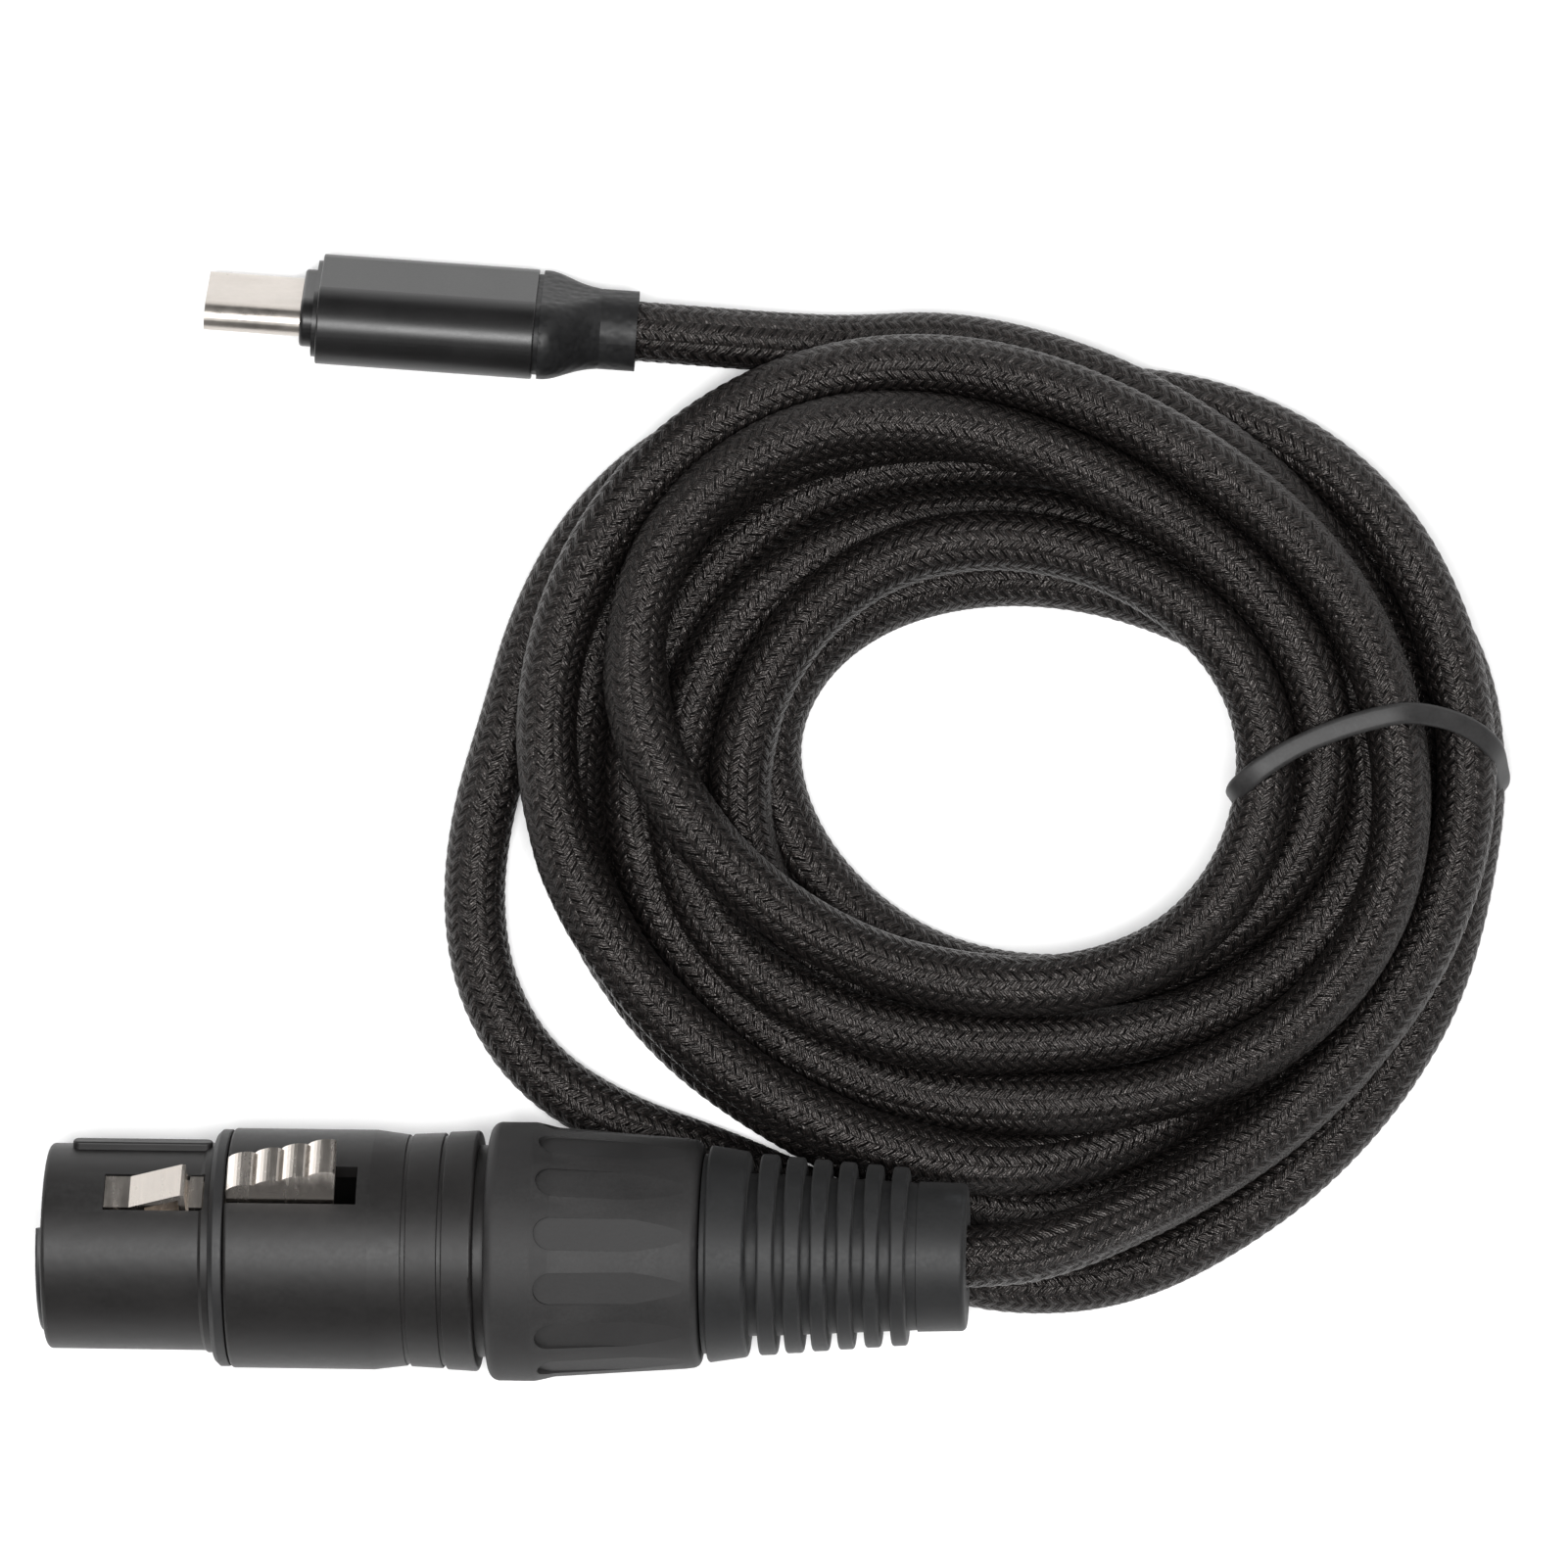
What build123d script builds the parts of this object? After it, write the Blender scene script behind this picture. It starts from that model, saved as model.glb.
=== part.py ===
from build123d import *
import os
import math

# Coiled microphone cable: female three-pole cable connector on one end,
# USB type C plug on the other, braided cord wound in a loose tied coil.
# Millimetres, +Z up, +X along the cable connector from its mating face
# towards the cord.  Origin under the middle of the connector, on the floor.

os.makedirs("parts", exist_ok=True)

# ---------------------------------------------------------------- dimensions
CORD_D = 4.8            # braided cord, outer diameter
CORD_R = CORD_D / 2
TILT = 3.3              # connector rests on its shell edge and on the cord
ROLL = 34.4             # latch turned away from straight up
AXIS_X0 = -36.59        # mating face on the connector axis
AXIS_Z0 = 8.60          # height of the axis at the mating face

BARREL_R = 8.15         # front barrel, outside
BARREL_IN = 7.25        # front barrel, inside
SHELL_R = 9.50          # rear shell, outside
SHELL_IN = 8.00         # rear shell, inside
BARREL_END = 13.35
SHELL_START = 15.10
SHELL_END = 34.75
NECK_R = 8.40           # thread neck of the shell
NECK_END = 40.6
RING_R = 9.40

INSERT_R = 7.20
INSERT_END = 16.0
PIN_CIRCLE = 3.81       # radius of the circle the three contacts stand on
BORE_R = 1.22           # socket bore for a 2.4 mm pin
BORE_LEN = 12.0
CONTACT_R = 1.75

LATCH_U = 6.4           # latch pivot, along the axis
LATCH_H = 6.9           # latch pivot, above the axis
LATCH_PIN_R = 0.45
RUN_GAP = 0.03          # running clearance of the latch pin

NUT_START = 35.60
NUT_END = 52.40
BOOT_START = 52.95
BOOT_END = 73.37
COLLAR_R = 5.89
BOOT_BORE = 2.50
LEAD_START = 69.40      # where the free cord starts, inside the boot's mouth

USB_W, USB_T = 12.4, 6.4    # plug housing, width and thickness
USB_ROLL = 65.7             # it stands nearly on edge
USB_YAW = -3.5
USB_TIP = (-24.60, 75.25)   # tip of the plug, seen from above
USB_Z = 5.98
COIL_H = 11.3

# ------------------------------------------------------------------ helpers


def outline(pts):
    """Closed edge list in the XY plane with rounded corners, from (x, y[, radius])."""
    n = len(pts)
    cut = []
    for i in range(n):
        p = Vector(pts[i][0], pts[i][1])
        a = Vector(pts[i - 1][0], pts[i - 1][1]) - p
        b = Vector(pts[(i + 1) % n][0], pts[(i + 1) % n][1]) - p
        r = pts[i][2] if len(pts[i]) > 2 else 0
        if r <= 0:
            cut.append((p, None, p))
            continue
        half = math.radians(a.get_angle(b)) / 2
        d = min(r / math.tan(half), 0.48 * a.length, 0.48 * b.length)
        r = d * math.tan(half)
        mid = (a.normalized() + b.normalized()).normalized()
        c = p + mid * (r / math.sin(half))
        cut.append((p + a.normalized() * d, c - mid * r, p + b.normalized() * d))
    edges = []
    for i in range(n):
        s0, m, s1 = cut[i]
        if m is not None:
            edges.append(Edge.make_three_point_arc(s0, m, s1))
        nxt = cut[(i + 1) % n][0]
        if (nxt - s1).length > 1e-6:
            edges.append(Edge.make_line(s1, nxt))
    return edges


def turned(pts):
    """Solid of revolution about X from (x, r[, corner radius]) points."""
    return revolve(Face(Wire(outline(pts))), Axis.X, 360)


def bar(x0, x1, y0, y1, z0, z1):
    """Axis-aligned block from its corner coordinates."""
    return Pos((x0 + x1) / 2, (y0 + y1) / 2, (z0 + z1) / 2) * Box(x1 - x0, y1 - y0, z1 - z0)


def rod(p, q, r):
    """Round rod from p to q."""
    p, q = Vector(*p), Vector(*q)
    d = q - p
    return Solid.make_cylinder(r, d.length, Plane(origin=p, z_dir=d.normalized()))


def side(pts, half):
    """Plate cut from a side view in (u, h), centred on the connector's plane."""
    face = make_face(Polyline(*[(p[0], 0, p[1]) for p in pts], close=True))
    return extrude(face, amount=half, both=True)


def slab(pts, z0, z1):
    """Prism between two heights from a plan outline."""
    face = make_face(Polyline(*[(x, y) for x, y in pts], close=True))
    return Pos(0, 0, z0) * extrude(face, amount=z1 - z0, dir=(0, 0, 1))


def slot_face(x, w, t, k=0.495):
    """Rounded section across X at x."""
    return Plane(origin=(x, 0, 0), x_dir=(0, 1, 0), z_dir=(1, 0, 0)) * RectangleRounded(w, t, min(w, t) * k)


def slot_bar(x0, x1, w, t, k=0.495):
    return extrude(slot_face(x0, w, t, k), amount=x1 - x0, dir=(1, 0, 0))


def route_radii(pts):
    """Arc radius of each inner corner of a cord route."""
    v = [Vector(*p) for p in pts]
    out = []
    for i in range(1, len(v) - 1):
        a, b = v[i] - v[i - 1], v[i + 1] - v[i]
        turn = a.get_angle(b)
        out.append(0.45 * min(a.length, b.length) / math.tan(math.radians(turn) / 2))
    return out


def cord_tube(name, pts):
    """Tube of the cord's diameter along straight runs and tangent arcs."""
    radii = route_radii(pts)
    path = FilletPolyline(*pts, radius=radii)
    start = Plane(origin=pts[0], z_dir=(Vector(*pts[1]) - Vector(*pts[0])).normalized())
    tube = sweep(start * Circle(CORD_R), path=path)
    want = math.pi * CORD_R ** 2 * path.length
    runs = [(Vector(*pts[i + 1]) - Vector(*pts[i])).length for i in range(len(pts) - 1)]
    print(name, "length", round(path.length, 1), "runs", [round(r, 1) for r in runs],
          "radii", [round(r, 1) for r in radii], "volume ratio", round(tube.volume / want, 4))
    return tube


def body_of(shape):
    """The main solid, without slivers left by a cut."""
    return max(shape.solids(), key=lambda q: q.volume)


AT_XLR = Location((AXIS_X0, 0, AXIS_Z0)) * Rot(0, -TILT, 0) * Rot(-ROLL, 0, 0)
AT_USB = Location((USB_TIP[0], USB_TIP[1], USB_Z)) * Rot(0, 0, USB_YAW) * Rot(-USB_ROLL, 0, 0)


def axis_point(u):
    """World point on the connector's axis, u from the mating face."""
    t = math.radians(TILT)
    return (AXIS_X0 + u * math.cos(t), 0.0, AXIS_Z0 + u * math.sin(t))


parts = {}

# ------------------------------------------------ cable connector: the shell
shell = turned([
    (0.50, BARREL_IN + 0.05, 0.15), (0.50, BARREL_R, 0.75), (13.0, BARREL_R), (13.25, BARREL_R + 0.17),
    (13.75, BARREL_R + 0.17), (13.75, 8.30), (SHELL_START, 8.30), (SHELL_START, SHELL_R, 0.3),
    (26.5, SHELL_R), (29.1, 9.16, 0.2), (29.1, 9.02), (29.42, 9.02), (29.42, 9.22, 0.12),
    (31.95, 9.34, 0.12), (31.95, 9.12), (32.27, 9.12), (32.27, 9.42, 0.12), (SHELL_END, 9.56, 0.3),
    (SHELL_END, NECK_R), (NECK_END, NECK_R, 0.3), (NECK_END, 6.80), (36.0, 6.80), (34.6, SHELL_IN),
    (16.0, SHELL_IN), (16.0, BARREL_IN + 0.05)])
# slots that let the latch tooth and the latch button through
shell -= bar(5.40, BARREL_END, -1.68, 1.68, 5.0, 12.0)
shell -= bar(13.2, 15.3, -1.68, 1.68, 5.0, 7.75)
shell -= bar(15.0, 25.5, -1.76, 1.76, 5.0, 12.0)
# raised key along the barrel
rib = bar(2.45, 13.55, -0.68, 0.68, 7.7, 8.74)
rib = fillet(rib.edges().filter_by(Axis.Z), 0.55)
rib = fillet(rib.faces().sort_by(Axis.Z)[-1].edges(), 0.18)
shell += Rot(-41.6, 0, 0) * rib
shell -= turned([(-1, 0), (-1, BARREL_IN), (16.0, BARREL_IN), (16.0, 0)])
shell -= Pos(LATCH_U, 0, LATCH_H) * Rot(90, 0, 0) * Cylinder(LATCH_PIN_R + 0.01, 6.6)
parts["xlr_shell"] = AT_XLR * shell

parts["front_seal_ring"] = AT_XLR * turned([
    (13.85, 8.36, 0.1), (13.85, 9.0, 0.2), (14.25, RING_R, 0.15), (15.02, RING_R, 0.15), (15.02, 8.36)])

# ------------------------------------------- cable connector: contact insert
insert = turned([(0.55, 0), (0.55, INSERT_R, 0.25), (INSERT_END, INSERT_R, 0.2), (INSERT_END, 0)])
nose = turned([(0.0, 0), (0.0, 6.75, 0.2), (0.55, 6.75), (0.55, 0)]) - bar(-1, 0.55, 1.55, 9, -9, 9)
insert += Rot(ROLL, 0, 0) * nose
insert -= bar(4.85, 16.5, -1.95, 1.95, 3.9, 9.0)
insert -= Pos(LATCH_U, 0, LATCH_H) * Rot(90, 0, 0) * Cylinder(LATCH_PIN_R + 0.01, 6.6)
CONTACTS = [("contact_one", PIN_CIRCLE, 0.0), ("contact_two", -PIN_CIRCLE, 0.0), ("contact_three", 0.0, -PIN_CIRCLE)]
for name, t, h in CONTACTS:
    insert -= Pos(0, t, h) * turned([(-0.5, 0), (-0.5, 1.55), (1.0, 1.35), (1.0, CONTACT_R + 0.03),
                                     (INSERT_END + 0.5, CONTACT_R + 0.03), (INSERT_END + 0.5, 0)])
parts["contact_insert"] = AT_XLR * insert

for name, t, h in CONTACTS:
    c = turned([(1.03, BORE_R), (1.03, CONTACT_R, 0.15), (15.2, CONTACT_R, 0.15), (15.2, 1.10), (20.0, 1.10, 0.15),
                (20.0, 0), (1.03 + BORE_LEN, 0), (1.03 + BORE_LEN, BORE_R)])
    c -= bar(17.2, 20.5, -2, 2, 0.15, 2)
    parts[name] = AT_XLR * Pos(0, t, h) * c

wires = []
for name, t, h in CONTACTS:
    k = 1.15 / PIN_CIRCLE
    wires.append(rod((20.1, t, h - 0.4), (32.85, t * k, h * k), 0.55))
parts["signal_wires"] = AT_XLR * Compound(children=wires)

screen = turned([(16.3, 7.45, 0.1), (16.3, 7.95, 0.1), (19.0, 7.95, 0.1), (19.0, 7.45, 0.1)])
screen -= bar(16, 19.5, -2.6, 2.6, 0, 10)
parts["shield_contact"] = AT_XLR * screen

# ------------------------------------------------------ cable connector: latch
tongue = side([(5.45, 7.05), (5.45, 8.0), (7.45, 8.0), (11.66, 9.86), (11.95, 9.80), (11.95, 7.55), (12.18, 7.55),
               (12.18, 8.08), (13.22, 8.08), (13.22, 7.30), (23.0, 7.30), (23.0, 6.75), (6.6, 6.75), (6.2, 6.2), (5.6, 6.3)], 1.45)
tongue -= side([(8.7, 7.30), (11.45, 7.30), (11.45, 9.10), (8.7, 7.95)], 1.6)
tongue += Pos(LATCH_U, 0, LATCH_H) * Rot(90, 0, 0) * Cylinder(0.95, 2.9)
tongue -= Pos(LATCH_U, 0, LATCH_H) * Rot(90, 0, 0) * Cylinder(LATCH_PIN_R + RUN_GAP, 4.0)
parts["latch_tongue"] = AT_XLR * tongue

RIDGES = 4
prof = [(15.30, 7.33), (15.30, 10.55)]
N = 8
for i in range(RIDGES):
    for j in range(N):
        s = (i + j / N) / RIDGES
        u = 15.42 + s * 8.55
        prof.append((u, 10.85 + s * 2.62 + 0.42 * abs(math.sin(math.pi * j / N)) ** 0.6))
prof += [(23.97, 13.55), (24.12, 13.35), (23.6, 7.33)]
button = side(prof, 1.55)
parts["latch_button"] = AT_XLR * button

parts["latch_pin"] = AT_XLR * Pos(LATCH_U, 0, LATCH_H) * Rot(90, 0, 0) * Cylinder(LATCH_PIN_R, 6.5)

# ------------------------------------------- cable connector: clamping pieces
chuck = turned([(34.9, BOOT_BORE + 0.0), (34.9, 6.2, 0.3), (41.5, 6.70), (44.6, 6.0, 0.3), (44.6, BOOT_BORE + 0.0)])
for a in (0, 60, 120):
    chuck -= Rot(a, 0, 0) * bar(37.5, 45.0, -0.3, 0.3, -8, 8)
parts["cable_chuck"] = AT_XLR * chuck

nut = turned([(NUT_START, NECK_R + 0.06), (NUT_START, 10.25, 1.3), (39.2, 10.25, 1.5), (40.8, 9.88, 2.0), (51.2, 9.12),
              (NUT_END, 8.95, 0.9), (NUT_END, 6.30), (50.6, 6.30), (42.2, 7.10), (41.0, NECK_R + 0.06)])
FLUTES = 14
for i in range(FLUTES):
    if i == 7:
        continue
    a = 10.3 + i * 360 / FLUTES
    # a shallow flat-bottomed scoop with a rounded start that runs out towards the narrow end
    cutter = Pos(40.9, 0, 9.65) * Rot(0, 3.0, 0) * (
        Pos(0, 0, 2) * Cylinder(1.3, 4) + Pos(6, 0, 2) * Box(12, 2.6, 4))
    nut -= Rot(ROLL - a, 0, 0) * cutter
parts["clamp_nut"] = AT_XLR * nut

RIBS = [(57.02, 58.41, 7.98), (59.11, 60.50, 7.80), (61.20, 62.52, 7.62), (63.29, 64.53, 7.45),
        (65.39, 66.63, 7.28), (67.48, 68.72, 7.12)]
prof = [(45.1, BOOT_BORE), (45.1, 5.6, 0.3), (50.0, 6.15), (52.55, 6.15), (52.55, 7.9), (BOOT_START, 7.9),
        (BOOT_START, 8.62, 0.25), (56.15, 8.12, 0.4), (56.15, 6.45)]
for x0, x1, r in RIBS:
    core = 6.45 - (x0 - 57.0) * 0.05
    prof += [(x0, core), (x0, r, 0.25), (x1, r - 0.07, 0.25), (x1, core - 0.05)]
prof += [(69.5, 5.80), (69.5, COLLAR_R + 0.06, 0.25), (BOOT_END, COLLAR_R - 0.05, 0.45), (BOOT_END, BOOT_BORE + 0.0, 0.25)]
# the steps between ribs meet the core on straight shoulders
boot = turned(prof)
parts["strain_relief_boot"] = AT_XLR * boot

parts["cord_clamped_end"] = AT_XLR * turned([(33.0, 0), (33.0, CORD_R), (LEAD_START, CORD_R), (LEAD_START, 0)])

# ------------------------------------------------------------------ USB plug
shell_u = slot_bar(0, 10.4, 8.25, 2.42) - slot_bar(-1, 11, 7.75, 1.92)
parts["usb_plug_shell"] = AT_USB * shell_u
carrier = slot_bar(0.45, 10.4, 7.73, 1.90) - bar(0, 6.2, -3.35, 3.35, -0.50, 0.50)
parts["usb_contact_carrier"] = AT_USB * carrier
strips = []
for i in range(12):
    y = (i - 5.5) * 0.5
    strips.append(bar(1.2, 6.1, y - 0.125, y + 0.125, 0.38, 0.49))
    strips.append(bar(1.2, 6.1, y - 0.125, y + 0.125, -0.49, -0.38))
parts["usb_contacts"] = AT_USB * Compound(children=strips)
collar = slot_bar(7.60, 8.62, 9.4, 4.0, 0.46) + slot_bar(8.60, 8.98, 11.1, 5.4, 0.47) + slot_bar(8.9, 10.4, 10.9, 4.9, 0.47)
collar = fillet(collar.faces().sort_by(Axis.X)[0].edges(), 0.3)
collar -= slot_bar(7.0, 11, 8.27, 2.44)
parts["usb_front_collar"] = AT_USB * collar
housing = slot_bar(8.98, 26.2, USB_W, USB_T, 0.48)
housing = fillet(housing.faces().sort_by(Axis.X)[0].edges(), 0.12)
housing = fillet(housing.faces().sort_by(Axis.X)[-1].edges(), 0.12)
housing -= slot_bar(8.0, 27, 11.0, 5.0, 0.47)
parts["usb_housing"] = AT_USB * housing
relief = slot_bar(24.9, 26.3, 10.9, 4.9, 0.47) + slot_bar(26.2, 26.62, 11.5, 5.7, 0.47)
taper = loft([slot_face(26.60, 12.3, 6.3, 0.48), slot_face(27.6, 12.0, 6.22, 0.48), slot_face(28.9, 10.1, 5.95, 0.48),
              slot_face(30.2, 8.0, 5.9, 0.48), slot_face(31.4, 6.75, 6.0, 0.48)])
relief += taper
relief += slot_bar(31.38, 34.3, 6.7, 6.1, 0.48)
relief -= Pos(33.0, 0, 0) * Rot(0, 90, 0) * Cylinder(BOOT_BORE, 4.0)
parts["usb_strain_relief"] = AT_USB * relief
parts["usb_circuit_board"] = AT_USB * bar(10.5, 24.6, -4.9, 4.9, -0.8, 0.0)
chip = bar(14.0, 19.0, -2.5, 2.5, 0.02, 0.95)
parts["converter_chip"] = AT_USB * chamfer(chip.faces().sort_by(Axis.Z)[-1].edges(), 0.15)
caps = [bar(x, x + 1.6, y, y + 0.8, 0.02, 0.75) for x, y in
        [(11.6, -3.9), (11.6, 3.0), (20.4, -3.9), (20.4, 3.0), (22.3, -0.4), (11.6, -0.4)]]
parts["board_capacitors"] = AT_USB * Compound(children=caps)

# ---------------------------------------------------------------------- cord
# coil: outer shape of the bundle, as plan outlines
COIL_OUT = [
    (21.5, 69.7), (21.5, 74.9), (24.5, 74.6), (30.3, 74.1), (35.5, 74.8), (40.8, 74.6), (45.9, 73.5), (50.6, 71.8),
    (55.3, 69.9), (59.6, 67.6), (63.8, 64.6), (67.5, 61.1), (71.5, 57.7), (74.8, 53.5), (77.3, 48.7), (79.6, 43.5),
    (80.5, 38.0), (80.8, 32.2), (79.8, 26.5), (77.4, 21.3), (74.2, 16.6), (70.9, 11.5), (67.3, 7.2), (63.2, 3.5),
    (58.5, 0.1), (54.1, -2.4), (49.9, 7.3), (45.6, 5.6), (38.0, 6.8), (32.0, 7.7),
    (21.0, 8.9), (17.8, 9.4), (15.6, 10.9), (14.3, 13.3), (12.7, 15.6), (11.2, 17.6), (9.7, 19.5), (8.1, 21.7),
    (6.5, 24.2), (5.0, 27.4), (3.4, 29.6), (2.4, 31.8), (1.7, 34.2), (1.4, 38.4), (-3.5, 39.9), (-2.5, 41.8),
    (-1.3, 44.2), (0.0, 47.0), (0.8, 51.3), (2.9, 56.6), (6.9, 61.9), (11.6, 66.0), (15.6, 68.2), (19.0, 69.3)]
COIL_IN = [
    (58.7, 37.7), (59.0, 40.4), (57.8, 42.8), (56.1, 45.0), (54.5, 46.8), (52.7, 48.5), (50.9, 50.0), (49.0, 51.3),
    (47.0, 52.5), (44.9, 53.5), (42.6, 53.9), (38.0, 53.5), (33.6, 52.7), (29.1, 51.1), (26.9, 49.8), (24.8, 48.2),
    (22.8, 46.4), (21.1, 44.1), (19.5, 41.6), (18.3, 38.7), (18.7, 35.8), (19.6, 32.9), (20.8, 30.3), (22.5, 28.0),
    (25.1, 26.5), (29.9, 24.4), (34.3, 23.2), (40.6, 22.4), (47.5, 22.2), (53.2, 23.2), (56.2, 24.2), (58.4, 26.2),
    (59.8, 29.0), (60.2, 33.0)]
# tie: strip across the bundle, seen from above
TIE = [(57.6, 37.6), (60.6, 39.9), (64.2, 41.7), (68.3, 43.1), (72.4, 43.9), (76.0, 43.7), (79.0, 42.0), (80.6, 39.9), (82.2, 37.2)]


def strip(pts, half):
    left, right = [], []
    for i, (x, y) in enumerate(pts):
        a = pts[max(i - 1, 0)]
        b = pts[min(i + 1, len(pts) - 1)]
        dx, dy = b[0] - a[0], b[1] - a[1]
        n = math.hypot(dx, dy)
        left.append((x - dy / n * half, y + dx / n * half))
        right.append((x + dy / n * half, y - dx / n * half))
    return left + right[::-1]


coil = slab(COIL_OUT, 0, COIL_H) - slab(COIL_IN, -1, COIL_H + 1)
coil -= slab(strip(TIE, 1.2), -0.5, 1.0)
parts["cord_coil"] = coil

tie = slab(strip(TIE, 0.875), 0.0, COIL_H + 1.0)
tie -= bar(58.4, 81.2, 30, 60, 0.7, COIL_H + 0.35)
parts["cord_tie"] = tie


# lead from the connector's boot down into the coil
start = axis_point(LEAD_START)
bend = axis_point(LEAD_START + 6.6)
LEAD_XLR = [start, bend, (43.9, 1.0, 12.1), (49.3, 3.2, 9.4), (55.0, 6.1, 7.4)]
parts["cord_lead_xlr"] = body_of(cord_tube("cord_lead_xlr", LEAD_XLR) - coil)

# lead from the coil to the USB plug
yaw = math.radians(USB_YAW)
u0 = (USB_TIP[0] + 31.0 * math.cos(yaw), USB_TIP[1] + 31.0 * math.sin(yaw), USB_Z)
u1 = (USB_TIP[0] + 38.5 * math.cos(yaw), USB_TIP[1] + 38.5 * math.sin(yaw), USB_Z)
LEAD_USB = [u0, u1, (20.5, 72.45, 4.0), (26.5, 72.3, 2.9)]
parts["cord_lead_usb"] = body_of(cord_tube("cord_lead_usb", LEAD_USB) - coil)

# loose outer turn that leaves the coil on the left and passes under the boot
Z = CORD_R
LOOSE = [(-0.17, 42.0, Z), (-2.3, 35.0, Z), (-3.1, 27.6, Z), (-1.9, 20.4, Z), (2.1, 14.1, Z), (8.8, 10.0, Z),
         (17.0, 7.3, Z), (25.2, 3.8, Z), (31.5, 0.2, Z), (37.5, -2.2, Z), (44.5, -2.5, Z), (50.5, -1.2, Z), (56.4, 1.8, Z)]
parts["cord_loose_turn"] = body_of(cord_tube("cord_loose_turn", LOOSE) - coil)

for name, shape in parts.items():
    export_step(shape, "parts/" + name + ".step")
print(len(parts), "nodes")
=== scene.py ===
import bpy, bmesh, math
import numpy as np
from mathutils import Vector, Matrix


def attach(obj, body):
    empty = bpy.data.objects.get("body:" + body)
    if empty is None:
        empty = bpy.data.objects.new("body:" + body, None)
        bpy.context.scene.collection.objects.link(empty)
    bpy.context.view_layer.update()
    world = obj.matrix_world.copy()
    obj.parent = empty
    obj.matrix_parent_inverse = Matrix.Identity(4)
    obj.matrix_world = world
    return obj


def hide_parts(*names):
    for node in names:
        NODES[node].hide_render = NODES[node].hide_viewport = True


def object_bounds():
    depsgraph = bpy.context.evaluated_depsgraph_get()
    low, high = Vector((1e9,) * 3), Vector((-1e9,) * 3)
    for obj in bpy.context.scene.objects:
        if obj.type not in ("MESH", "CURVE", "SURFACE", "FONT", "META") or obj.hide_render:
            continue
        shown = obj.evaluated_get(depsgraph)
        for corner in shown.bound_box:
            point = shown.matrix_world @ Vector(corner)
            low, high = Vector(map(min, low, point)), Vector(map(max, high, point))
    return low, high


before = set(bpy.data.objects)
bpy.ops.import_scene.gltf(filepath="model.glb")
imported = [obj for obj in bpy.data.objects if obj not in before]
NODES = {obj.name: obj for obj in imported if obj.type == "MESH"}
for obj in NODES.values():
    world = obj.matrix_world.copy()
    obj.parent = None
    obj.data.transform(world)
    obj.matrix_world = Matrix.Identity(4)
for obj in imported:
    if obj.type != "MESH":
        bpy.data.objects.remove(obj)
CAD_BOX = [list(map(float, v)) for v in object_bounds()]

# ------------------------------------------------------------------ camera
cam_data = bpy.data.cameras.new("camera")
cam = bpy.data.objects.new("camera", cam_data)
bpy.context.collection.objects.link(cam)
cam_data.sensor_width = 36.0
cam_data.sensor_fit = "HORIZONTAL"
CAM_D = 1.10
VIEW_W = 0.1248
cam_data.lens = 36.0 * (CAM_D - 0.006) / VIEW_W
cam_data.clip_start = 0.05
cam_data.clip_end = 20.0
cam.location = (0.02173, 0.03727, CAM_D)
cam.rotation_euler = (0.0, 0.0, math.radians(0.636))
bpy.context.scene.camera = cam

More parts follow.
